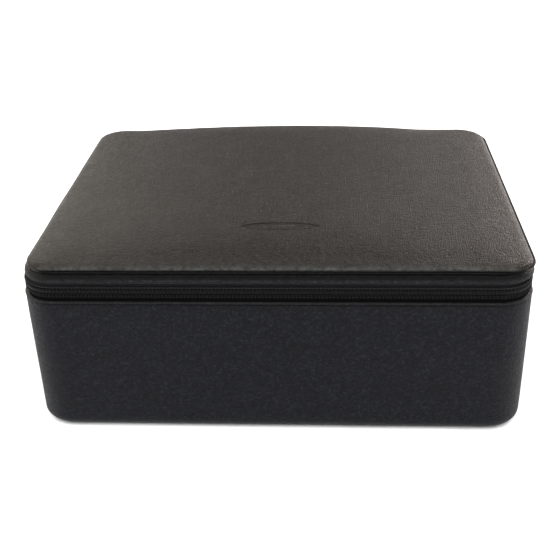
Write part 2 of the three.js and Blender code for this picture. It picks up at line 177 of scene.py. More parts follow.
def leather(
    name, base, worn_and_glint, grain_mm=1.25, depth=0.3, rough=(0.4, 0.62), shine=0.16, mottling=1.0, side_sheen=None
):
    """Fine pebbled leather: cells with creases between them, under a mottled finish.

    Its attribute is 1 at edges rubbed pale or painted with a highlight, -1 at painted shade and pressed
    lines.
    The painted side sheen is given as a colour and the distances from the middle between which it takes over.
    """
    s = Shader(name, Specular_IOR_Level=shine)
    pebble, each = s.pebbles(1 / (grain_mm * MM))
    fine = s.noise(3800.0, 2.0, 0.6)
    mottle = s.noise(520.0, 3.0, 0.7)
    s.bump(s.total((pebble, 1.0), (fine, 0.35), (each, 0.55), (mottle, 2.2 * mottling)), 0.8, depth)
    colour = s.blend(s.spread(s.noise(38.0), 0.3, 0.7, 0.0, 1.0), shade(base, 0.93), base)
    # painted sheen towards the left and right ends
    if side_sheen:
        colour = s.paint_side_sheen(colour, *side_sheen)
    colour = s.blend(s.spread(each, 0.45, 1.0, 0.0, 0.8), colour, shade(base, 2.8))
    # painted shade: darker in the creases between the cells
    colour = s.blend(s.spread(pebble, 0.0, 0.7, 0.8, 0.0), colour, shade(base, 0.2))
    colour = s.blend(s.spread(mottle, 0.3, 0.48, 0.8, 0.0), colour, shade(base, 0.2))
    colour = s.blend(s.spread(mottle, 0.52, 0.68, 0.0, 0.9), colour, shade(base, 1 + 2 * mottling))
    wear_and_painted_light = s.node("Attribute", attribute_name="wear_and_painted_light").outputs["Fac"]
    # painted shade: negative values of the attribute darken the colour
    colour = s.blend(s.spread(wear_and_painted_light, -1.0, 0.0, 0.85, 0.0), colour, shade(base, 0.15))
    patches = s.spread(s.noise(330.0, 3.0, 0.6), 0.35, 0.65, 0.3, 1.0)
    # rubbed edges and painted highlights alike lighten towards the rubbed colour
    rub_and_painted_light = s.maths("MULTIPLY", s.spread(wear_and_painted_light, 0.0, 1.0, 0.0, 1.0), patches)
    s.use("Base Color", s.blend(rub_and_painted_light, colour, worn_and_glint))
    gloss = s.total((s.noise(70.0, 1.0, 0.4), 0.2), (each, 0.4), (mottle, 0.6))
    gloss = s.spread(gloss, 0.3, 0.9, rough[0], rough[1])
    s.use("Roughness", s.total((gloss, 1.0), (rub_and_painted_light, -0.12)))
    return s.material


def cloth_pile(name, base, tip, sheen, sheen_rough, pile_scale, depth):
    """Suede or velvet: short pile that lies one way here and another there."""
    s = Shader(name, Sheen_Weight=sheen, Sheen_Roughness=sheen_rough, Roughness=0.95, Specular_IOR_Level=0.1)
    s.bsdf.inputs["Sheen Tint"].default_value = (*[min(1.0, 4 * c + 0.2) for c in tip], 1.0)
    lie = s.spread(s.noise(55.0, 4.0, 0.6), 0.38, 0.62, 0.0, 1.0)
    fibre = s.noise(pile_scale, 2.0, 0.7)
    mixed = s.blend(s.spread(fibre, 0.3, 0.7, 0.0, 1.0), base, tip)
    s.use("Base Color", s.blend(s.maths("MULTIPLY", lie, 0.45), mixed, tip))
    s.bump(s.total((fibre, 1.0), (lie, 0.3)), 0.7, depth)
    return s.material


def woven_tape(name, base, lighter):
    """Herringbone tape: slanted ribs that turn over every few millimetres."""
    rib_mm, weft_mm, turn_mm = 0.7, 0.35, 1.8
    s = Shader(name, Roughness=0.9, Specular_IOR_Level=0.06)
    run, across = s.along()
    slant = s.maths("ADD", run, s.maths("PINGPONG", across, turn_mm))
    rib = s.maths("SINE", s.maths("MULTIPLY", slant, 2 * math.pi / rib_mm))
    weft = s.maths("SINE", s.maths("MULTIPLY", across, 2 * math.pi / weft_mm))
    height = s.total((rib, 0.5), (weft, 0.2))
    s.bump(height, 0.8, 0.12)
    s.use("Base Color", s.blend(s.spread(height, -0.6, 0.6, 0.0, 1.0), base, lighter))
    return s.material


def nylon(name, base, rough):
    """Moulded nylon filament with faint draw lines."""
    s = Shader(name, Specular_IOR_Level=0.16)
    streak = s.noise(900.0, 3.0, 0.6)
    s.use("Base Color", s.blend(streak, shade(base, 0.7), base))
    s.use("Roughness", s.spread(streak, 0.3, 0.7, rough, rough + 0.18))
    s.bump(streak, 0.3, 0.03)
    return s.material


def thread(name, base):
    """Twisted sewing thread."""
    s = Shader(name, Roughness=0.6, Specular_IOR_Level=0.15)
    twist = s.noise(3000.0, 1.0)
    s.use("Base Color", s.blend(twist, shade(base, 0.5), base))
    s.bump(twist, 0.6, 0.08)
    return s.material


def plated(name, base):
    """Gunmetal plating with hairline scratches and a slightly uneven polish."""
    s = Shader(name, Metallic=1.0)
    stretch = s.node("Mapping", {"Vector": s.place, "Scale": (1.0, 0.08, 1.0)}).outputs[0]
    hair = s.noise(5200.0, 2.0, 0.7, stretch)
    s.use("Base Color", s.blend(s.noise(700.0, 2.0), shade(base, 0.75), base))
    s.use("Roughness", s.spread(hair, 0.3, 0.7, 0.22, 0.38))
    s.bump(hair, 0.15, 0.02)
    return s.material


def grey_card(name):
    """Raw grey board with fibres and specks."""
    s = Shader(name, Roughness=0.92, Specular_IOR_Level=0.2)
    fibres = s.noise(1500.0, 4.0, 0.7)
    specks = s.spread(s.noise(2600.0, 1.0), 0.62, 0.68, 0.0, 1.0)
    colour = s.blend(fibres, (0.2, 0.17, 0.135), (0.34, 0.3, 0.24))
    s.use("Base Color", s.blend(s.maths("MULTIPLY", specks, 0.6), colour, (0.08, 0.07, 0.06)))
    s.bump(fibres, 0.4, 0.08)
    return s.material


def silvered(name):
    """Mirror glass, wiped but not spotless."""
    s = Shader(name, Metallic=1.0)
    film = s.noise(24.0, 4.0, 0.6)
    s.use("Base Color", s.blend(film, (0.84, 0.86, 0.87), (0.9, 0.91, 0.92)))
    s.use("Roughness", s.spread(film, 0.4, 0.7, 0.015, 0.06))
    return s.material


# Lit copy of the black leather: the cover's colour is painted lighter and warmer than the wall's
panel_leather_painted_light = leather(
    # the rubbed colour here also serves as the painted highlight along the cover's edge
    "panel_leather_painted_light", (0.0085, 0.0072, 0.0052), worn_and_glint=(0.055, 0.057, 0.054), shine=0.086, mottling=1.1,
    # painted sheen: lighter and warmer towards the left and right ends of the cover
    side_sheen=((0.0205, 0.0142, 0.011), 50, 142),
)
# Shaded copy of the same black leather: painted darker and cooler than the cover's
wall_leather_painted_shade = leather(
    "wall_leather_painted_shade", (0.0044, 0.0046, 0.0062), worn_and_glint=(0.016, 0.016, 0.016), shine=0.1, mottling=1.35
)
trim_leather = leather(
    "trim_leather", (0.0066, 0.0068, 0.0075), worn_and_glint=(0.028, 0.028, 0.027), grain_mm=0.95, depth=0.2,
    rough=(0.42, 0.58), shine=0.1,
)
# Darker copy of the trim leather for the piping: painted shade of the groove it sits in
piping_leather_painted_shade = leather(
    "piping_leather_painted_shade", (0.003, 0.003, 0.003), worn_and_glint=(0.01, 0.01, 0.01), grain_mm=0.9, depth=0.08,
    rough=(0.6, 0.75), shine=0.1,
)
suede = cloth_pile("suede", (0.03, 0.028, 0.03), (0.06, 0.056, 0.058), 0.3, 0.5, 2600.0, 0.12)
velvet = cloth_pile("velvet", (0.03, 0.027, 0.03), (0.07, 0.065, 0.07), 0.7, 0.35, 3600.0, 0.2)
# black tape, darkened further as painted shade in the gap below the coil
tape = woven_tape("tape", (0.002, 0.002, 0.0025), (0.005, 0.005, 0.0055))
# Lighter copy of the tape for the lid: painted light on tape that sits in shade under the band
lid_tape_painted_light = woven_tape("lid_tape_painted_light", (0.011, 0.011, 0.012), (0.02, 0.02, 0.022))
coil_nylon = nylon("coil_nylon", (0.0036, 0.0038, 0.0045), 0.38)
black_thread = thread("black_thread", (0.005, 0.005, 0.0055))
# Lighter thread: a painted glint along the top of the zip
thread_painted_glint = thread("thread_painted_glint", (0.024, 0.0245, 0.026))
gunmetal = plated("gunmetal", (0.16, 0.16, 0.17))
card = grey_card("card")
mirror_glass = silvered("mirror_glass")


# ---- Mesh helpers ----
def build(name, points_mm, faces, material, body, wear_and_painted_light=None, run=None, sharp=40):
    """A mesh piece from points in millimetres. run gives (along, across) for each point."""
    mesh = bpy.data.meshes.new(name)
    mesh.from_pydata((np.asarray(points_mm, float) * MM).tolist(), [], faces)
    if run is not None:
        layer = mesh.uv_layers.new(name="run")
        corners = np.zeros(len(mesh.loops), int)
        mesh.loops.foreach_get("vertex_index", corners)
        layer.data.foreach_set("uv", np.asarray(run, float)[corners].ravel())
    if wear_and_painted_light is not None:
        rubbed = mesh.attributes.new("wear_and_painted_light", "FLOAT", "POINT")
        rubbed.data.foreach_set("value", np.asarray(wear_and_painted_light, np.float32))
    work = bmesh.new()
    work.from_mesh(mesh)
    bmesh.ops.recalc_face_normals(work, faces=work.faces)
    work.to_mesh(mesh)
    work.free()
    mesh.shade_smooth()
    mesh.set_sharp_from_angle(angle=math.radians(sharp))
    mesh.materials.append(material)
    piece = bpy.data.objects.new(name, mesh)
    bpy.context.scene.collection.objects.link(piece)
    if body:
        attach(piece, body)
    return piece


def outline_path(start, end, half_x=HALF_X, half_y=HALF_Y, radius=CORNER, step=4.0, turn=5.0, extra=()):
    """Points of a rounded rectangle from one normal angle down to another, with normals and run.

    The walk is clockwise from above. A straight side belongs to one angle, a multiple of 90.
    A walk that starts or ends on a multiple of 90 starts or ends in the middle of that side.
    """
    cx, cy = half_x - radius, half_y - radius
    points, normals = [], []

    def side(angle, part):
        a = math.radians(angle)
        n = np.array([math.cos(a), math.sin(a)]).round(9)
        along = np.array([n[1], -n[0]])
        half = cx if abs(n[1]) > 0.5 else cy
        reach = half_x if abs(n[0]) > 0.5 else half_y
        count = max(2, math.ceil(half * (part[1] - part[0]) / step))
        places = set(np.linspace(part[0] * half, part[1] * half, count + 1).round(6))
        places |= {p for p in extra if angle == start and part[0] * half < p < part[1] * half}
        for t in sorted(places):
            points.append(n * reach + along * t)
            normals.append(n)

    def arc(high, low):
        count = max(1, math.ceil((high - low) / turn))
        middle = math.radians(math.floor((high + low) / 2 / 90) * 90 + 45)
        centre = np.array([cx * np.sign(math.cos(middle)), cy * np.sign(math.sin(middle))])
        for k in range(count + 1):
            a = math.radians(high + (low - high) * k / count)
            n = np.array([math.cos(a), math.sin(a)])
            points.append(centre + n * radius)
            normals.append(n)

    angle = start
    while True:
        if angle % 90 == 0:
            side(angle, (0 if angle == start else -1, 0 if angle == end else 1))
        if angle == end:
            break
        lower = max(end, math.ceil(angle / 90 - 1) * 90)
        arc(angle, lower)
        angle = lower
    points, normals = np.array(points), np.array(normals)
    keep = np.append(True, np.linalg.norm(np.diff(points, axis=0), axis=1) > 1e-6)
    points, normals = points[keep], normals[keep]
    run = np.append(0, np.cumsum(np.linalg.norm(np.diff(points, axis=0), axis=1)))
    return points, normals, run


def grid_faces(rows, columns, wrap_rows, wrap_columns):
    """Quads of a grid of points that are numbered row by row."""
    faces = []
    for i in range(rows - (not wrap_rows)):
        for j in range(columns - (not wrap_columns)):
            i2, j2 = (i + 1) % rows, (j + 1) % columns
            faces.append((i * columns + j, i2 * columns + j, i2 * columns + j2, i * columns + j2))
    return faces


def end_caps(rows, columns):
    """The first and the last row of such a grid, each as one face."""
    return [tuple(range(columns)), tuple(range((rows - 1) * columns, rows * columns))]


def sweep(name, path, profile, material, body, closed=True, shape=None, wear_and_painted_light=None):
    """Sweeps a closed (inset, z) profile along an outline path.

    shape takes path points, insets and heights, and returns new insets and heights.
    The function for rubbing and painted light takes x, insets and heights.
    """
    points, normals, run = path
    if closed:
        points, normals, run = points[:-1], normals[:-1], run[:-1]
    profile = np.array(profile, float)
    count, size = len(points), len(profile)
    inset = np.tile(profile[:, 0], (count, 1))
    z = np.tile(profile[:, 1], (count, 1))
    if shape:
        inset, z = shape(points, inset, z)
    x = points[:, :1] - normals[:, :1] * inset
    y = points[:, 1:] - normals[:, 1:] * inset
    verts = np.stack([x, y, z], axis=2).reshape(-1, 3)
    faces = grid_faces(count, size, closed, True)
    if not closed:
        faces += end_caps(count, size)
    steps = np.append(0, np.cumsum(np.linalg.norm(np.diff(profile, axis=0), axis=1)))
    uv = np.stack([np.repeat(run, size), np.tile(steps, count)], axis=1)
    rub_and_painted_light = None if wear_and_painted_light is None else np.clip(wear_and_painted_light(x, inset, z), -1, 1).ravel()
    return build(name, verts, faces, material, body, rub_and_painted_light, uv)


def rounding(centre, radius, start, end, count):
    """Points of an arc of a profile, angles in degrees: 0 points outwards, 90 up."""
    angles = np.radians(np.linspace(start, end, count))
    return [(centre[0] - radius * math.cos(a), centre[1] + radius * math.sin(a)) for a in angles]


def climb(inset, low, high, step=3.0):
    """Points straight up or down a profile, without its two ends."""
    count = max(1, round(abs(high - low) / step))
    return [(inset, z) for z in np.linspace(low, high, count + 1)[1:-1]]


def ripple(x, y, z, length, seed=0.0):
    """Smooth random numbers around zero, the same on every run."""
    flat = np.stack(np.broadcast_arrays(x, y, z), axis=-1).reshape(-1, 3) / length + seed
    return np.array([noise.noise(Vector(p)) for p in flat]).reshape(np.broadcast(x, y, z).shape)


def tube(path, radius, sides=6, closed=False, squash=1.0, up=(0, 0, 1)):
    """Points and faces of a tube along a line. squash flattens it along the up direction."""
    path = np.asarray(path, float)
    if closed:
        tangent = np.roll(path, -1, axis=0) - np.roll(path, 1, axis=0)
    else:
        tangent = np.gradient(path, axis=0)
    tangent /= np.linalg.norm(tangent, axis=1)[:, None]
    up = np.broadcast_to(np.asarray(up, float), path.shape)
    side = np.cross(tangent, up)
    weak = np.linalg.norm(side, axis=1) < 0.05
    side[weak] = np.cross(tangent[weak], (0.3, 0.9, 0.1))
    side /= np.linalg.norm(side, axis=1)[:, None]
    over = np.cross(side, tangent)
    radius = np.broadcast_to(np.asarray(radius, float), (len(path),))[:, None, None]
    angles = np.linspace(0, 2 * math.pi, sides, endpoint=False)
    angles = angles[None, :, None]
    ring = np.cos(angles) * side[:, None] + squash * np.sin(angles) * over[:, None]
    points = (path[:, None] + radius * ring).reshape(-1, 3)
    faces = grid_faces(len(path), sides, closed, True)
    if not closed:
        faces += end_caps(len(path), sides)
    return points, faces


def merged(parts):
    """Several (points, faces) as one."""
    points, faces, start = [], [], 0
    for p, f in parts:
        points.append(p)
        faces += [tuple(i + start for i in face) for face in f]
        start += len(p)
    return np.concatenate(points), faces


def edge_lines(low, high, radius, step, dense=()):
    """Grid lines between two faces: close together over the rounded edges and in dense spans."""
    ease = radius * (1 - np.cos(np.radians([0, 18, 36, 54, 72, 90])))
    inner = np.linspace(low + radius, high - radius, max(2, math.ceil((high - low - 2 * radius) / step)) + 1)
    lines = set((low + ease).round(5)) | set((high - ease).round(5)) | set(inner.round(5))
    for start, end, fine in dense:
        lines |= set(np.arange(start, end, fine).round(5))
    lines = np.array(sorted(lines))
    return lines[np.append(True, np.diff(lines) > 1e-3)]


def edge_distance(x, y, low, high, corners):
    """Distance inwards from a rounded rectangle, and points moved from square corners onto round ones.

    corners are the radii at (+x +y), (-x +y), (-x -y) and (+x -y).
    """
    middle, half = (low + high) / 2, (high - low) / 2
    dx, dy = x - middle[0], y - middle[1]
    quarter = np.where(dy >= 0, np.where(dx >= 0, 0, 1), np.where(dx >= 0, 3, 2))
    r = np.asarray(corners, float)[quarter]
    ox, oy = np.abs(dx) - (half[0] - r), np.abs(dy) - (half[1] - r)
    both = (ox > 0) & (oy > 0)
    shrink = np.where(both, np.maximum(ox, oy) / np.maximum(np.hypot(ox, oy), 1e-9), 1.0)
    nx = np.where(both, np.sign(dx) * (half[0] - r + ox * shrink), dx) + middle[0]
    ny = np.where(both, np.sign(dy) * (half[1] - r + oy * shrink), dy) + middle[1]
    ox, oy = ox * shrink, oy * shrink
    inside = np.minimum(np.maximum(ox, oy), 0) + np.hypot(np.maximum(ox, 0), np.maximum(oy, 0))
    return r - inside, nx, ny


def pad(name, low, high, corners, radius, material, body, axis=2, step=4.0, dense_x=(), dense_y=(),
        top=None, bottom=None, side_rows=1, sharp=60, wear_and_painted_light=None, warp=None):
    """A soft-edged slab: a rounded plan with rounded edges, and a top and bottom that may be shaped.

    axis is the direction of its thickness. top and bottom take plan positions and the distance
    from the edge, and return how far the face is raised.
    """
    order = {2: (0, 1, 2), 0: (1, 2, 0), 1: (0, 2, 1)}[axis]
    low, high = np.asarray(low, float)[list(order)], np.asarray(high, float)[list(order)]
    gx = edge_lines(low[0], high[0], radius, step, dense_x)
    gy = edge_lines(low[1], high[1], radius, step, dense_y)
    square_x, square_y = np.meshgrid(gx, gy, indexing="ij")
    edge, x, y = edge_distance(square_x, square_y, low[:2], high[:2], corners)
    edge = np.maximum(edge, 0)
    over = np.clip(radius - edge, 0, radius)
    drop = radius - np.sqrt(np.maximum(radius**2 - over**2, 0))
    z_top, z_bottom = high[2] - drop, low[2] + drop
    if top:
        z_top = z_top + top(x, y, edge)
    if bottom:
        z_bottom = z_bottom + bottom(x, y, edge)
    rows, columns = x.shape
    layers = [np.stack([x, y, z], axis=2).reshape(-1, 3) for z in (z_top, z_bottom)]
    faces = grid_faces(rows, columns, False, False)
    faces += [tuple(i + rows * columns for i in reversed(f)) for f in grid_faces(rows, columns, False, False)]
    ring = [i * columns for i in range(rows)] + [(rows - 1) * columns + j for j in range(1, columns)]
    ring += [i * columns + columns - 1 for i in range(rows - 2, -1, -1)]
    ring += list(range(columns - 2, 0, -1))
    previous, start = ring, 2 * rows * columns
    for k in range(1, side_rows + 1):
        if k == side_rows:
            current = [i + rows * columns for i in ring]
        else:
            share = k / side_rows
            layers.append(layers[0][ring] * (1 - share) + layers[1][ring] * share)
            current = list(range(start, start + len(ring)))
            start += len(ring)
        for a in range(len(ring)):
            b = (a + 1) % len(ring)
            faces.append((previous[a], previous[b], current[b], current[a]))
        previous = current
    points = np.concatenate(layers)
    rub_and_painted_light = None if wear_and_painted_light is None else np.clip(wear_and_painted_light(points), -1, 1)
    if warp:
        points = warp(points)
    back = np.argsort(order)
    return build(name, points[:, back], faces, material, body, rub_and_painted_light, sharp=sharp)


def smooth(value, low, high):
    """0 up to the low value, 1 from the high one, and an easy curve between them."""
    t = np.clip((value - low) / (high - low), 0, 1)
    return t * t * (3 - 2 * t)


def stitches(path, normals, length=2.6, gap=0.9, width=0.22, lift=0.1):
    """A row of sewn stitches: short tubes that dip into the leather at both ends."""
    path = np.asarray(path, float)
    run = np.append(0, np.cumsum(np.linalg.norm(np.diff(path, axis=0), axis=1)))
    count = int(run[-1] // (length + gap))
    pitch = run[-1] / count
    parts = []
    for k in range(count):
        at = k * pitch + np.linspace(0, pitch - gap, 6)
        middle = np.stack([np.interp(at, run, path[:, i]) for i in range(3)], axis=1)
        out = np.stack([np.interp(at, run, normals[:, i]) for i in range(3)], axis=1)
        rise = lift - (width + lift) * np.array([1, 0.25, 0, 0, 0.25, 1])
        parts.append(tube(middle + out * rise[:, None], width, 5))
    return merged(parts)


# ---- Outside of the base ----
SEAM_HALF = 0.9
ALL_ROUND = outline_path(90, -270, extra=(-SEAM_HALF, -0.5, 0.5, SEAM_HALF))
OUTER_FACE = 1.9  # points of a profile at smaller insets are on its outer face
OUTER_LIMIT = 1.95  # and may be drawn in as far as this
UNDER_CORNER = 14.0


def closing_seam(points, inset):
    """Butt seam at the middle of the back."""
    near = (points[:, 1:] > HALF_Y - 1) * np.clip(1 - np.abs(points[:, :1]) / SEAM_HALF, 0, 1)
    return inset + 0.5 * near * (inset < 1.5)


def wall_shape(points, inset, z):
    """The leather of the wall is a little uneven over its foam."""
    soft = 0.16 * ripple(points[:, :1], points[:, 1:], z, 34.0, 3.1)
    soft += 0.07 * ripple(points[:, :1], points[:, 1:], z, 11.0, 8.3)
    return closing_seam(points, inset + (inset < OUTER_FACE) * soft), z


def wall_wear_and_shade(x, inset, z):
    """Rubbed round the bottom edge, and painted shade just under the binding."""
    foot = np.clip(1 - np.abs(z - 4.0) / 4.0, 0, 1)
    return 0.5 * foot - 0.4 * smooth(z, WRAP_TOP - 5.0, WRAP_TOP - 1.0)


def make_base_wrap():
    thick, foot, lip = 2.0, 5.0, 0.6
    profile = (
        [(15.8, WRAP_LOW), (10.0, WRAP_LOW)]
        + rounding((foot, WRAP_LOW + foot), foot, -90, 0, 8)
        + climb(0.0, WRAP_LOW + foot, WRAP_TOP - lip)
        + rounding((lip, WRAP_TOP - lip), lip, 0, 90, 4)
        + [(thick, WRAP_TOP), (thick, 40.0), (thick, WRAP_LOW + foot)]
        + rounding((foot, WRAP_LOW + foot), foot - thick, 0, -90, 5)
        + [(10.0, WRAP_LOW + thick), (15.8, WRAP_LOW + thick)]
    )
    base_wrap = sweep(
        "base_wrap", ALL_ROUND, profile, wall_leather_painted_shade, "base",
        shape=wall_shape, wear_and_painted_light=wall_wear_and_shade,
    )
    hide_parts("base_leather_wrap", "wall_foam")


def binding_shape(points, inset, z):
    """The binding rises and falls a little along its length."""
    return closing_seam(points, inset), z + 0.08 * ripple(points[:, :1], points[:, 1:], 0 * z, 16.0, 5.0)


def binding_wear_glint_and_shade(x, inset, z):
    """A pale line along its top edge, partly rubbed and partly a painted highlight, and painted shade below
    it.
    """
    return 0.35 * smooth(z, RIM_Z - 0.6, RIM_Z - 0.15) - smooth(-z, 0.3 - RIM_Z, 0.7 - RIM_Z)


def make_binding():
    round_edge = 0.55
    profile = (
        [(0.15, WRAP_TOP + 0.05), (-0.1, WRAP_TOP + 0.3), (-0.2, WRAP_TOP + 0.6)]
        + rounding((0.35, RIM_Z - round_edge), round_edge, 0, 90, 5)
        + [(1.7, RIM_Z - 0.05), (2.0, RIM_Z - 0.4), (2.0, WRAP_TOP + 0.1), (1.0, WRAP_TOP + 0.02)]
    )
    binding = sweep(
        "base_binding", ALL_ROUND, profile, trim_leather, "base",
        shape=binding_shape, wear_and_painted_light=binding_wear_glint_and_shade,
    )
    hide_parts("base_edge_binding")


def make_underside():
    low, high = box_mm("bottom_cover")
    corners = (UNDER_CORNER,) * 4
    under = pad("underside_cover", low, high, corners, 0.45, trim_leather, "base", step=8.0)
    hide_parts("bottom_cover")


# ---- Outside of the lid ----
PANEL_LOW, PANEL_HIGH = box_mm("lid_top_cover")
PANEL_EDGE = 104.0
PANEL_ROUND = 0.95
PANEL_CROWN = 6.9
PANEL_CORNERS = (18.0, 18.0, 15.0, 14.0)
REAR_RISE = 3.4
REAR_HALF_SPANS = (92.0, 112.0)  # to the right and to the left
SHOULDER = 0.9
MARK_MIDDLE = (2.0, -69.5)
MARK_HALF = (22.0, 4.4)
# Spans and spacing of extra grid lines, across the pressed oval and at the steep rear edge.
FINE_X = ((-22, 26.0, 0.6),)
FINE_Y = ((-75, -63.5, 0.5), (103.5, 107.0, 0.35))


def narrower_rear(points):
    """The lid pulls in a little behind the end of the zip."""
    return 0.8 * smooth(points[:, 1:], 56, 68) * (np.abs(points[:, :1]) > HALF_X - CORNER)


def leaning_corner(points):
    """1 round the left front corner, where the lid leans in, 0 elsewhere."""
    return smooth(-points[:, :1], HALF_X - 24, HALF_X - 4) * smooth(-points[:, 1:], 10, 95)


def band_shape(points, inset, z):
    drawn_in = np.minimum(inset + narrower_rear(points) + 1.1 * leaning_corner(points), OUTER_LIMIT)
    return closing_seam(points, np.where(inset < OUTER_FACE, drawn_in, inset)), z


def band_wear_and_shade(x, inset, z):
    """Rubbed along its lower edge, with painted shade where it turns in under the cover and round the
    corners.
    """
    rubbed = 0.35 * smooth(-z, -BAND_LOW - 1.0, -BAND_LOW)
    shaded = 0.5 * smooth(np.abs(x), 126, 138) + smooth(inset, 0.6, 1.1) * (z > BAND_LOW + 1)
    return rubbed - shaded


def make_band():
    hem = 0.55
    profile = (
        rounding((0.9, BAND_LOW + hem), hem, -90, 0, 4)
        + [(0.38, BAND_LOW + 1.2), (0.55, BAND_LOW + 1.9), (0.95, BAND_TOP - 1.9), (1.15, BAND_TOP - 1.55)]
        + [(1.6, BAND_TOP - 1.3), (2.4, BAND_TOP - 0.8), (3.1, BAND_TOP + 0.05), (3.9, BAND_TOP + 0.2)]
        + [(3.9, BAND_TOP + 0.05), (3.15, BAND_TOP), (3.0, BAND_TOP - 0.3), (2.2, BAND_TOP - 1.5)]
        + [(2.0, BAND_TOP - 1.9), (2.0, BAND_LOW + 0.3), (1.6, BAND_LOW)]
    )
    band = sweep(
        "lid_band", ALL_ROUND, profile, trim_leather, "lid", shape=band_shape, wear_and_painted_light=band_wear_and_shade
    )
    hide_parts("lid_side_band")


def piping_shape(points, inset, z):
    """The piping bulges at the right side, and is drawn in with the cover at the left front corner."""
    bulge = np.where(points[:, :1] > 0, 2.4, 0.4) * smooth(np.abs(points[:, :1]), HALF_X - 7, HALF_X - 1)
    return inset - bulge + 1.4 * leaning_corner(points), z


def make_piping():
    middle, half = middle_and_half("lid_edge_piping")
    profile = rounding((2.5 + half[2], middle[2] + 0.1), half[2], 0, 324, 10)
    piping = sweep(
        "lid_piping", ALL_ROUND, profile, piping_leather_painted_shade, "lid", shape=piping_shape
    )
    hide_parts("lid_edge_piping")


def mark_reach(x, y):
    """How far a point is from the middle of the pressed oval, 1 on its outline."""
    return np.hypot((x - MARK_MIDDLE[0]) / MARK_HALF[0], (y - MARK_MIDDLE[1]) / MARK_HALF[1])


def mark_groove(reach):
    """1 in the outer fine line of the pressed oval, less in the inner one, 0 away from them."""
    return np.exp(-(((reach - 0.94) / 0.08) ** 2)) + 0.6 * np.exp(-(((reach - 0.55) / 0.1) ** 2))


def panel_top(x, y, edge):
    """Padded crown, its soft unevenness, gathers along the edge, and a pressed blank oval."""
    crown = PANEL_CROWN * (1 - (x / PANEL_HIGH[0]) ** 2)
    half_span = np.where(x > 0, *REAR_HALF_SPANS)
    lift = np.minimum(REAR_RISE * np.maximum(1 - (x / half_span) ** 2, 0), crown) * (y > 0)
    from_rear = np.clip((PANEL_HIGH[1] - y) / 3.0, 0, 1)
    steep = lift * np.sqrt(1 - (1 - from_rear) ** 2)
    flatness = np.where(y > 0, 8, 6)
    rise = steep + (crown - lift) * (1 - np.abs(y / PANEL_HIGH[1]) ** flatness)
    shoulder = SHOULDER * (1 - (1 - np.clip(edge / 4.5, 0, 1)) ** 2) * smooth(np.abs(x), 100, 128)
    uneven = 0.12 * ripple(x, y, 0, 46.0, 2.2) + 0.03 * ripple(x, y, 0, 15.0, 6.1)
    gathers = 0.1 * ripple(x, y, 0, 5.5, 9.4) * smooth(edge, 0.5, 3) * (1 - smooth(edge, 4, 12))
    reach = mark_reach(x, y)
    pressed = 0.14 * (1 - smooth(reach, 0.9, 1.06)) + 0.25 * mark_groove(reach)
    return np.maximum(rise + shoulder + uneven * smooth(edge, 0, 12) + gathers - pressed, 0)


def panel_wear_and_painted_light(points):
    """Rubbed along its edge, which also carries a painted highlight, painted light just behind the front
    edge, and dark in the lines of the oval.
    """
    x, y, z = points.T
    edge, _, _ = edge_distance(x, y, PANEL_LOW[:2], PANEL_HIGH[:2], PANEL_CORNERS)
    front = smooth(-y, 60, 108)
    # rubbed pale edge that is also a painted highlight, strongest towards the front
    rub_and_painted_light = (1 - smooth(edge, 0.3, 1.8)) * smooth(z, PANEL_EDGE - 1.4, PANEL_EDGE - 0.3)
    # painted light: a lighter zone just behind the front edge, in the middle
    painted_light_behind_front = 0.2 * front * (1 - smooth(edge, 3.0, 13.0)) * (1 - smooth(np.abs(x), 70, 125))
    return np.maximum(rub_and_painted_light * (0.35 + 0.65 * front), painted_light_behind_front) - mark_groove(mark_reach(x, y))


def sit_uneven(points):
    """The cover is drawn in at the left, most of all towards the front, and pinched at the right rear."""
    moved = points.copy()
    x, y, z = points.T
    aside = x / PANEL_HIGH[0]
    moved[:, 0] += (1.0 + 1.5 * smooth(-y, -100, 95)) * np.clip(-aside, 0, 1) ** 2
    moved[:, 0] -= 0.3 * np.clip(aside, 0, 1) ** 2
    pinch = 0.9 * smooth(x, 60, 135) * smooth(y, 30, 108)
    moved[:, 2] -= pinch * np.clip((z - PANEL_LOW[2]) / (PANEL_EDGE - PANEL_LOW[2]), 0, 1)
    return moved


def make_padded_cover():
    high = (*PANEL_HIGH[:2], PANEL_EDGE)
    panel = pad(
        "lid_padded_cover", PANEL_LOW, high, PANEL_CORNERS, PANEL_ROUND, panel_leather_painted_light, "lid",
        step=2.2, dense_x=FINE_X, dense_y=FINE_Y, side_rows=2,
        top=panel_top, wear_and_painted_light=panel_wear_and_painted_light, warp=sit_uneven,
    )
    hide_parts("lid_top_cover", "lid_foam")


# ---- Zip ----
def end_angle(y, inset):
    """Normal angle at which a line at an inset, going round a rear corner, reaches a y position."""
    return math.degrees(math.asin((y - HALF_Y + CORNER) / (CORNER - inset)))


def strip_profile(outer, inner, low, high, step=1.2):
    """Closed profile of an upright strip."""
    outside = climb(outer, low, high, step) + [(outer, high)]
    return outside + [(inner, high)] + climb(inner, high, low, 8) + [(inner, low), (outer, low)]


TAPE_OUT, TAPE_IN = 2.3, 2.9
COIL_ANGLE = end_angle(COIL_END_Y, 1.4)
COIL_POINTS, COIL_NORMALS, COIL_RUN = outline_path(COIL_ANGLE, -180 - COIL_ANGLE, step=2.0, turn=3.0)
TOOTH = [  # (share of a pitch, inset, distance from the middle of the zip, thickness)
    (-0.30, 1.95, 3.05, 0.34), (-0.12, 1.7, 3.25, 0.34), (0.0, 1.35, 3.2, 0.36), (0.02, 1.18, 2.6, 0.38),
    (0.02, 1.15, 1.2, 0.38), (0.02, 1.2, 0.2, 0.42), (0.02, 1.32, -0.45, 0.5), (0.04, 1.6, -0.7, 0.54),
    (0.06, 1.85, -0.45, 0.5), (0.08, 2.0, 0.2, 0.4), (0.12, 2.05, 1.2, 0.36), (0.3, 2.05, 2.4, 0.34),
    (0.5, 2.05, 2.95, 0.34),
]


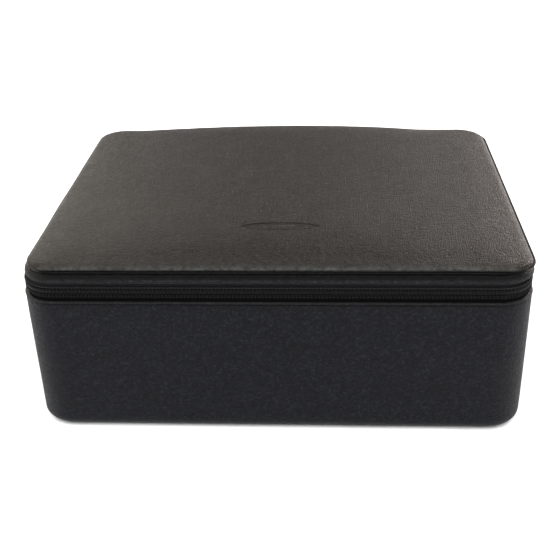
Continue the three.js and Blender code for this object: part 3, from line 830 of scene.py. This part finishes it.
def make_tapes():
    angle = end_angle(TAPE_END_Y, TAPE_OUT)
    zip_round = outline_path(angle, -180 - angle)
    for name, node, body, weave, low, high in (
        ("zip_tape_base", "zip_tape_lower", "base", tape, ZIP_Z - 16.0, ZIP_Z - 0.2),
        ("zip_tape_lid", "zip_tape_upper", "lid", lid_tape_painted_light, ZIP_Z + 0.1, ZIP_Z + 8.2),
    ):
        profile = strip_profile(TAPE_OUT, TAPE_IN, low, high)
        strip = sweep(name, zip_round, profile, weave, body, closed=False)
        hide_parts(node)


def on_outline(run, inset, z):
    """Points at distances along the zip, from the outside face inwards, at heights."""
    p = np.stack([np.interp(run, COIL_RUN, COIL_POINTS[:, i]) for i in (0, 1)], axis=1)
    n = np.stack([np.interp(run, COIL_RUN, COIL_NORMALS[:, i]) for i in (0, 1)], axis=1)
    n /= np.linalg.norm(n, axis=1)[:, None]
    return np.concatenate([p - n * inset[:, None], z[:, None]], axis=1)


def coil(name, node, body, side, shift):
    """One row of the zip: a filament wound so that each turn is a tooth."""
    run, inset, height, thick = [], [], [], []
    for k in range(int((COIL_RUN[-1] - 2 * PITCH) // PITCH)):
        for share, depth, reach, radius in TOOTH:
            run.append((k + 1 + shift + share) * PITCH)
            inset.append(depth)
            height.append(ZIP_Z + side * reach)
            thick.append(radius)
    path = on_outline(np.array(run), np.array(inset), np.array(height))
    points, faces = tube(path, np.array(thick), 6)
    piece = build(name, points, faces, coil_nylon, body, sharp=70)
    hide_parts(node)
    # the lid row's outer stitching carries the painted glint
    outer_yarn = thread_painted_glint if side > 0 else black_thread
    for label, reach, yarn in (("inner", 1.5, black_thread), ("outer", 2.85, outer_yarn)):
        at = np.arange(PITCH, COIL_RUN[-1] - PITCH, PITCH / 6)
        wave = np.cos(2 * math.pi * (at / PITCH - shift))
        line = on_outline(at, 0.98 - 0.3 * wave, np.full(len(at), ZIP_Z + side * reach))
        points, faces = tube(line, 0.17, 5)
        build(f"{name}_{label}_stitching", points, faces, yarn, body, sharp=80)


# ---- Hinge ----
HINGE_ANGLE = end_angle(COIL_END_Y + 0.4, 2.0)


def hinge_shape(points, inset, z):
    """A fold at the hinge's height, and faint creases between the binding and the band."""
    fold = 0.25 * np.exp(-(((z - HINGE_Z) / 0.9) ** 2))
    between = smooth(z, RIM_Z, RIM_Z + 3) * (1 - smooth(z, BAND_LOW - 3, BAND_LOW))
    creases = 0.12 * ripple(points[:, :1], 0, z * 2.5, 9.0, 4.0) * between
    return inset + (fold + creases) * (inset < 2.6), z


def make_hinge_strip():
    path = outline_path(180 - HINGE_ANGLE, HINGE_ANGLE)
    profile = strip_profile(1.65, 2.2, RIM_Z - 0.1, BAND_LOW + 0.2, 0.5)
    strip = sweep(
        "hinge_strip", path, profile, trim_leather, None, closed=False, shape=hinge_shape
    )
    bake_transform(strip)
    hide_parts("hinge_strip_lower", "hinge_strip_upper")


def make_hinge_lining():
    foot, top, step = 85.3, 94.5, 0.5
    profile = [(3.2, z) for z in np.arange(foot, top, step)] + [(3.8, z) for z in np.arange(top, foot, -step)]
    path = outline_path(180 - HINGE_ANGLE + 3, HINGE_ANGLE - 3)
    lining = sweep("hinge_lining", path, profile, suede, None, closed=False)
    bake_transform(lining)
    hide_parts("hinge_lining_lower", "hinge_lining_upper")


# ---- Linings of the walls ----
LEDGE_LOW, LEDGE_TOP = 84.2, 85.0
LIP_TOP = 89.5
UPPER_LEDGE = BAND_LOW - 0.8


def no_lip_behind(ledge, way):
    """The lip behind the zip sinks to the ledge where the hinge is. way is 1 in the base, -1 in the lid."""

    def shape(points, inset, z):
        sink = smooth(points[:, 1:], HALF_Y - CORNER - 7, HALF_Y - CORNER)
        beyond = np.maximum(way * (z - ledge), 0)
        soft = 0.1 * ripple(points[:, :1], points[:, 1:], z, 26.0, 7.0) * (inset > 8.2)
        return inset + soft, z - way * beyond * sink

    return shape


def lining_profile(backs, ledge, lip, way, step):
    """Lining that covers a wall and its ledge and stands up behind the zip.

    backs are heights on its hidden face, from the end of the wall to the ledge's far face.
    """
    bend = lip - way * 0.5
    return (
        [(7.55, z) for z in backs]
        + [(3.4, backs[-1]), (3.2, backs[-1] + way * 0.4), (3.5, ledge - way * 0.05)]
        + [(7.3, ledge), (7.5, ledge + way * 0.3)]
        + climb(7.5, ledge + way * 0.3, bend, 1.2)
        + rounding((8.0, bend), 0.5, 0, way * 180, 6)
        + climb(8.5, bend, backs[0], step)
        + [(8.5, backs[0])]
    )


def make_wall_linings():
    low, _ = box_mm("wall_lining")
    profile = lining_profile((low[2], 60.0, LEDGE_LOW), LEDGE_TOP, LIP_TOP, 1, 6.0)
    shape = no_lip_behind(LEDGE_TOP, 1)
    inner_lining = sweep("base_suede_lining", ALL_ROUND, profile, suede, "base", shape=shape)
    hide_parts("wall_lining")
    low, high = box_mm("lid_wall_lining")
    profile = lining_profile((high[2], BAND_LOW), UPPER_LEDGE, low[2], -1, 4.0)
    shape = no_lip_behind(UPPER_LEDGE, -1)
    upper_lining = sweep("lid_suede_lining", ALL_ROUND, profile, suede, "lid", shape=shape)
    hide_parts("lid_wall_lining")


# ---- Inside of the base ----
INNER_CORNER = CORNER - INSIDE
SWELL = 0.25
ROLL_SIDES = 40
ROLL_END = 4.5
# Rings of a roll's gathered end: share of its radius, and how far in from its end.
ROLL_GATHERS = ((0.75, -0.35), (0.45, 0.2), (0.15, 1.2))


def pillow(height, margin, seed):
    """Face that swells gently away from its edges, a little unevenly."""

    def face(x, y, edge):
        return height * (1 + 0.12 * ripple(x, y, 0, 24.0, seed)) * smooth(edge, 0, margin)

    return face


def make_floor_pads():
    for name, node, corners, radius, seed in (
        ("base_floor_pad", "floor_pad", (INNER_CORNER,) * 4, 0.55, 1.0),
        ("upper_floor_pad", "raised_floor_pad", (INNER_CORNER, 0.6, 0.6, INNER_CORNER), 0.45, 2.0),
    ):
        low, high = box_mm(node)
        high[2] -= SWELL
        face = pillow(SWELL, 10, seed)
        floor_pad = pad(name, low, high, corners, radius, suede, "base", top=face)
        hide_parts(node)


def make_dividers():
    swell = 0.2
    for seed, (node, axis) in enumerate((
        ("long_divider", 0), ("cross_divider", 1), ("middle_divider", 1),
        ("small_divider_left", 0), ("small_divider_right", 0),
    )):
        low, high = box_mm(node)
        low[axis] += swell
        high[axis] -= swell
        board = pad(
            "suede_" + node, low, high, (1.6, 1.6, 0.5, 0.5), 1.5, suede, "base", axis=axis,
            step=5.0, top=pillow(swell, 6, seed + 3.0), bottom=lambda x, y, edge: -swell * smooth(edge, 0, 6),
        )
        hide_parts(node)


def make_ring_bed():
    low, high = box_mm("ring_bed")
    corners = (INNER_CORNER, 1.0, 1.0, 1.0)
    bed = pad("ring_bed_cover", low, high, corners, 1.0, suede, "base")
    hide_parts("ring_bed")


def ring_roll(number):
    """Stuffed velvet roll with gathered ends, a lengthwise seam underneath and a little unevenness."""
    middle, half = middle_and_half(f"ring_roll_{number}")
    radius = half[2] - 0.15
    length = 2 * half[0]
    ease = ROLL_END * (1 - np.cos(np.radians(np.linspace(0, 90, 9))))
    straight = np.linspace(ROLL_END, length - ROLL_END, 44)[1:-1]
    along = np.concatenate([ease, straight, (length - ease)[::-1]])[:, None]
    fall = np.clip(1 - np.minimum(along, length - along) / ROLL_END, 0, 1)
    rim = radius * (0.62 + 0.38 * np.sqrt(1 - fall**2))
    angles = np.linspace(0, 2 * math.pi, ROLL_SIDES, endpoint=False)[None]
    x = middle[0] - half[0] + along + 0 * angles
    pleats = 0.028 * np.cos(angles * 14) * fall**2
    seam = 0.05 * np.exp(-(((angles - 1.5 * math.pi) / 0.12) ** 2))
    lump = 0.012 * ripple(x, 6 * np.cos(angles), 6 * np.sin(angles), 9.0, 1.7 * number)
    r = rim * (1 + pleats - seam) + radius * lump - 0.08
    roll = np.stack([x, middle[1] + r * np.cos(angles), middle[2] + r * np.sin(angles)], axis=2)
    rings = [roll]
    for share, depth in ROLL_GATHERS:
        for end, way in ((0, 1), (-1, -1)):
            hub = np.array([x[end, 0], middle[1], middle[2]])
            disc = (hub + (roll[end] - hub) * share + (way * depth, 0, 0))[None]
            rings = [disc] + rings if end == 0 else rings + [disc]
    cloud = np.concatenate(rings)
    faces = grid_faces(len(cloud), ROLL_SIDES, False, True) + end_caps(len(cloud), ROLL_SIDES)
    points, name = cloud.reshape(-1, 3), f"velvet_roll_{number}"
    piece = build(name, points, faces, velvet, "base", sharp=80)
    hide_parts(f"ring_roll_{number}")


# ---- Inside of the lid ----
def sunk_round_mirror(x, y, edge):
    """The panel swells downwards except where the mirror's frame presses on it."""
    return -0.28 * smooth(edge, 0, 9) * (np.hypot(x / 92, y / 62) > 1)


def make_lid_pad():
    low, high = box_mm("lid_lining_panel")
    low[2] += 0.3
    corners = (INNER_CORNER,) * 4
    lid_pad = pad(
        "lid_suede_panel", low, high, corners, 0.55, suede, "lid", bottom=sunk_round_mirror
    )
    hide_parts("lid_lining_panel")


def make_mirror_frame():
    middle, half = middle_and_half("mirror_frame")
    front, back = middle[2] - half[2], middle[2] + half[2]
    path = outline_path(90, -270, half[0], half[1], 15.0, step=3.0)
    profile = (
        [(0.3, back), (0.0, back - 0.5), (0.0, front + 1.2)]
        + rounding((1.2, front + 1.2), 1.2, 0, -90, 6)
        + [(4.0, front), (7.5, front)]
        + rounding((9.3, front + 0.45), 0.45, -90, -200, 5)
        + [(7.0, front + 0.9), (6.6, front + 1.1), (6.6, back)]
    )
    mirror_border = sweep(
        "mirror_leather_frame", path, profile, trim_leather, "lid",
        wear_and_painted_light=lambda x, inset, z: 0.3 * smooth(-z, -front - 1, -front),
    )
    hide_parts("mirror_frame")
    points, normals, _ = path
    down = np.tile((0, 0, -1.0), (len(points), 1))
    for inset, label in ((2.0, "outer"), (8.1, "inner")):
        line = np.column_stack([points - normals * inset, np.full(len(points), front)])
        cloud, faces = stitches(line, down, width=0.2, lift=0.06)
        build(f"mirror_frame_{label}_stitching", cloud, faces, black_thread, "lid", sharp=80)


# ---- Slider and pull ----
SLIDER_MIDDLE, SLIDER_HALF = middle_and_half("slider_body")
SLIDER_Y = SLIDER_MIDDLE[1]
OUTER_PLATE = (-140.8, -139.5)
INNER_PLATE = (-135.6, -136.8)
# Half the outline of a plate, from the closed chain's end to the notch where the rows enter.
PLATE_HALF = [
    (-6.5, 2.4), (-6.2, 3.3), (-5.4, 3.8), (-2.0, 4.1), (1.2, 4.9), (3.2, 5.2), (5.2, 5.15), (6.2, 4.5),
    (6.5, 3.2), (6.2, 1.6), (5.6, 0.0),
]
BAIL_HALF = [(-0.9, -4.2), (-1.5, -4.0), (-2.6, -3.4), (-3.0, -2.2)]
BAIL = BAIL_HALF + [(-3.05, 0)] + [(x, -y) for x, y in reversed(BAIL_HALF)]
TAB_CORNERS = (1.4, 1.4, 4.3, 4.3)
TAB_SEAM = 1.3
RIVET_SIDES = 24


def plate(span, scale, bevel):
    """Plate of the slider, narrow where the closed chain leaves it and notched where the rows enter."""
    ring = [(y, scale * z) for y, z in PLATE_HALF] + [(y, -scale * z) for y, z in reversed(PLATE_HALF[:-1])]
    start, end = span
    layers = ((start, 1 - bevel), (start + 0.25 * np.sign(end - start), 1), (end, 1))
    points = [(x, SLIDER_Y + y * k, ZIP_Z + z * k) for x, k in layers for y, z in ring]
    return np.array(points), grid_faces(3, len(ring), False, True) + end_caps(3, len(ring))


def bar_box(low, high):
    """A plain block between two corners."""
    corners = np.array([[(low, high)[(k >> i) & 1][i] for i in range(3)] for k in range(8)], float)
    return corners, [(0, 2, 3, 1), (4, 5, 7, 6), (0, 1, 5, 4), (2, 6, 7, 3), (0, 4, 6, 2), (1, 3, 7, 5)]


def plate_lip(side):
    """Turned edge of the outer plate, above or below the chain."""
    z = ZIP_Z + side * 3.95
    return bar_box((-140.2, SLIDER_Y - 6.0, z - 0.35), (-138.4, SLIDER_Y + 0.6, z + 0.35))


def make_slider():
    wedge = bar_box((-139.9, SLIDER_Y + 2.2, ZIP_Z - 0.25), (-136.4, SLIDER_Y + 5.4, ZIP_Z + 0.25))
    bail = np.array([(OUTER_PLATE[0] + 0.3 + x, SLIDER_Y + y, ZIP_Z) for x, y in BAIL])
    bail[:, 0] = np.maximum(bail[:, 0], SLIDER_MIDDLE[0] - SLIDER_HALF[0] + 0.5)
    plates = [plate(OUTER_PLATE, 0.98, 0.06), plate(INNER_PLATE, 0.84, 0.06)]
    points, faces = merged(plates + [wedge, tube(bail, 0.5, 10, squash=1.8), plate_lip(-1), plate_lip(1)])
    slider = build("zip_slider_metal", points, faces, gunmetal, "zip_slider", sharp=35)
    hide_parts("slider_body")
    bevel = slider.modifiers.new("edges", "BEVEL")
    bevel.width = 0.12 * MM
    bevel.segments = 2
    bevel.limit_method = "ANGLE"
    bevel.angle_limit = math.radians(40)


def make_link():
    """A ring of wire with four rounded corners."""
    radius, corner = 0.55, 1.1
    middle, half = middle_and_half("pull_link")
    wire = []
    for side_y, side_z, start in ((1, 1, 0), (-1, 1, 90), (-1, -1, 180), (1, -1, 270)):
        y = middle[1] + side_y * (half[1] - 0.6 - corner)
        z = middle[2] + side_z * (half[2] - 0.6 - corner)
        for angle in np.radians(start + 18 * np.arange(6)):
            wire.append((middle[0], y + corner * math.cos(angle), z + corner * math.sin(angle)))
    points, faces = tube(np.array(wire), radius, 10, closed=True, up=(1, 0, 0))
    link = build("zip_pull_link", points, faces, gunmetal, "zip_pull", sharp=80)
    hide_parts("pull_link")


def seam_dip(edge):
    """Shallow groove that the tab's stitches lie in."""
    return 0.18 * np.exp(-(((edge - TAB_SEAM) / 0.35) ** 2))


def make_tab():
    low, high = box_mm("pull_tab")

    def tab_wear(points):
        edge, _, _ = edge_distance(points[:, 0], points[:, 1], low[1:], high[1:], TAB_CORNERS)
        return 0.7 * (1 - smooth(edge, 0.1, 0.9))

    tab = pad(
        "zip_pull_tab", low, high, TAB_CORNERS, 0.75, trim_leather, "zip_pull", axis=0,
        step=1.5, top=lambda x, y, edge: -seam_dip(edge), bottom=lambda x, y, edge: seam_dip(edge),
        wear_and_painted_light=tab_wear,
    )
    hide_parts("pull_tab")


def make_tab_stitching():
    middle, half = middle_and_half("pull_tab")
    outline, normals, _ = outline_path(90, -270, half[1], half[2], TAB_CORNERS[2], step=1.0, turn=12)
    seam = outline - normals * TAB_SEAM
    parts = []
    for side in (-1, 1):
        face_x = np.full(len(seam), middle[0] + side * (half[0] - 0.17))
        line = np.column_stack([face_x, middle[1] + seam[:, 0], middle[2] + seam[:, 1]])
        outwards = np.tile((side * 1.0, 0, 0), (len(line), 1))
        parts.append(stitches(line, outwards, length=1.7, gap=0.6, width=0.16, lift=0.08))
    points, faces = merged(parts)
    build("zip_pull_tab_stitching", points, faces, black_thread, "zip_pull", sharp=80)


def make_rivet():
    """Domed on both faces of the tab, with a narrower shank."""
    middle, half = middle_and_half("pull_rivet")
    dome = [(0.5, 0.03), (1.0, 0.12), (1.4, 0.3), (half[1], 0.5), (half[1], 0.62), (0.9, 0.62)]
    dome = [(radius, half[0] - drop) for radius, drop in dome]
    shape = dome + [(radius, -height) for radius, height in reversed(dome)]
    angles = np.linspace(0, 2 * math.pi, RIVET_SIDES, endpoint=False)
    ring = np.column_stack([0 * angles, np.cos(angles), np.sin(angles)])
    cloud = np.array([middle + (height, 0, 0) + radius * ring for radius, height in shape])
    faces = grid_faces(len(cloud), RIVET_SIDES, False, True) + end_caps(len(cloud), RIVET_SIDES)
    rivet = build("zip_pull_rivet", cloud.reshape(-1, 3), faces, gunmetal, "zip_pull", sharp=50)
    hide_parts("pull_rivet")


# ---- CAD nodes that stay ----
CARD_NODES = (
    "floor_board", "wall_board", "floor_support_front", "floor_support_rear", "raised_floor", "lid_rim_board",
    "lid_top_board",
)


def recolour(node, material):
    """Gives a CAD node one material."""
    node.data.materials.clear()
    node.data.materials.append(material)


# ---- Stage, light and camera ----
FLOOR_HALF, FLOOR_Z = 6.0, -0.0003
ELEVATION, TURN, ROLL = np.radians((28.89, 3.75, 1.69)).tolist()
DISTANCE, LENS = 0.6035, 58.36
TARGET = Vector((-0.0033, 0.0, 0.0377))


def make_floor():
    shader = Shader("floor_white", Roughness=0.9, Specular_IOR_Level=0.2)
    shader.bsdf.inputs["Base Color"].default_value = (0.93, 0.93, 0.93, 1.0)
    corners = [(x * FLOOR_HALF, y * FLOOR_HALF, FLOOR_Z) for x, y in ((-1, -1), (1, -1), (1, 1), (-1, 1))]
    mesh = bpy.data.meshes.new("floor")
    mesh.from_pydata(corners, [], [(0, 1, 2, 3)])
    mesh.materials.append(shader.material)
    floor = bpy.data.objects.new("floor", mesh)
    bpy.context.scene.collection.objects.link(floor)


def make_sky():
    world = bpy.data.worlds.new("studio")
    world.use_nodes = True
    background = world.node_tree.nodes["Background"]
    background.inputs[0].default_value = (0.96, 0.98, 1.0, 1.0)
    background.inputs[1].default_value = 0.55
    bpy.context.scene.world = world


def softbox(name, place, aim, size, power, colour=(1, 1, 1)):
    light = bpy.data.lights.new(name, "AREA")
    light.shape = "RECTANGLE"
    light.size, light.size_y = size
    light.energy = power
    light.color = colour
    lamp = bpy.data.objects.new(name, light)
    bpy.context.scene.collection.objects.link(lamp)
    lamp.location = place
    lamp.rotation_euler = (Vector(aim) - Vector(place)).to_track_quat("-Z", "Y").to_euler()
    lamp.visible_camera = False


def make_camera():
    lens = bpy.data.cameras.new("camera")
    lens.sensor_width = 36
    lens.lens = LENS
    lens.clip_start, lens.clip_end = 0.01, 50
    camera = bpy.data.objects.new("camera", lens)
    bpy.context.scene.collection.objects.link(camera)
    level = Vector((math.sin(TURN), -math.cos(TURN), 0))
    back = level * math.cos(ELEVATION) + Vector((0, 0, math.sin(ELEVATION)))
    right = Vector((0, 0, 1)).cross(back).normalized()
    up = back.cross(right)
    tilted_right = right * math.cos(ROLL) - up * math.sin(ROLL)
    tilted_up = right * math.sin(ROLL) + up * math.cos(ROLL)
    camera.location = TARGET + back * DISTANCE
    camera.rotation_euler = Matrix((tilted_right, tilted_up, back)).transposed().to_euler()
    bpy.context.scene.camera = camera
    bpy.context.scene.view_settings.view_transform = "Standard"


# ---- The case, piece by piece ----
make_base_wrap()
make_binding()
make_underside()
make_band()
make_piping()
make_padded_cover()
make_tapes()
coil("zip_teeth_base", "zip_coil_lower", "base", -1, 0.0)
coil("zip_teeth_lid", "zip_coil_upper", "lid", 1, 0.5)
make_hinge_strip()
make_hinge_lining()
make_wall_linings()
make_floor_pads()
make_dividers()
make_ring_bed()
for number in range(1, 7):
    ring_roll(number)
make_lid_pad()
make_mirror_frame()
make_slider()
make_link()
make_tab()
make_tab_stitching()
make_rivet()
for name in CARD_NODES:
    recolour(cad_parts[name], card)
recolour(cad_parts["lid_mirror"], mirror_glass)

make_floor()
make_sky()
softbox("overhead", (0, -1.0, 1.7), (0, -0.1, 0), (2.6, 1.5), 62)
softbox("window_left", (-1.25, 1.7, 0.6), (0, 0, 0.08), (1.0, 1.1), 22, (1.0, 0.94, 0.85))
softbox("window_right", (1.25, 1.7, 0.6), (0, 0, 0.08), (1.0, 1.1), 48, (1.0, 0.9, 0.86))
softbox("window_back", (0, 1.8, 1.7), (0, 0, 0.08), (1.6, 2.0), 10, (1.0, 0.97, 0.92))
softbox("side_left", (-1.5, 0.2, 0.3), (0, 0, 0.05), (0.8, 0.6), 7, (1.0, 0.97, 0.86))
softbox("side_right", (1.5, 0.2, 0.3), (0, 0, 0.05), (0.8, 0.6), 7, (1.0, 0.93, 0.92))
make_camera()
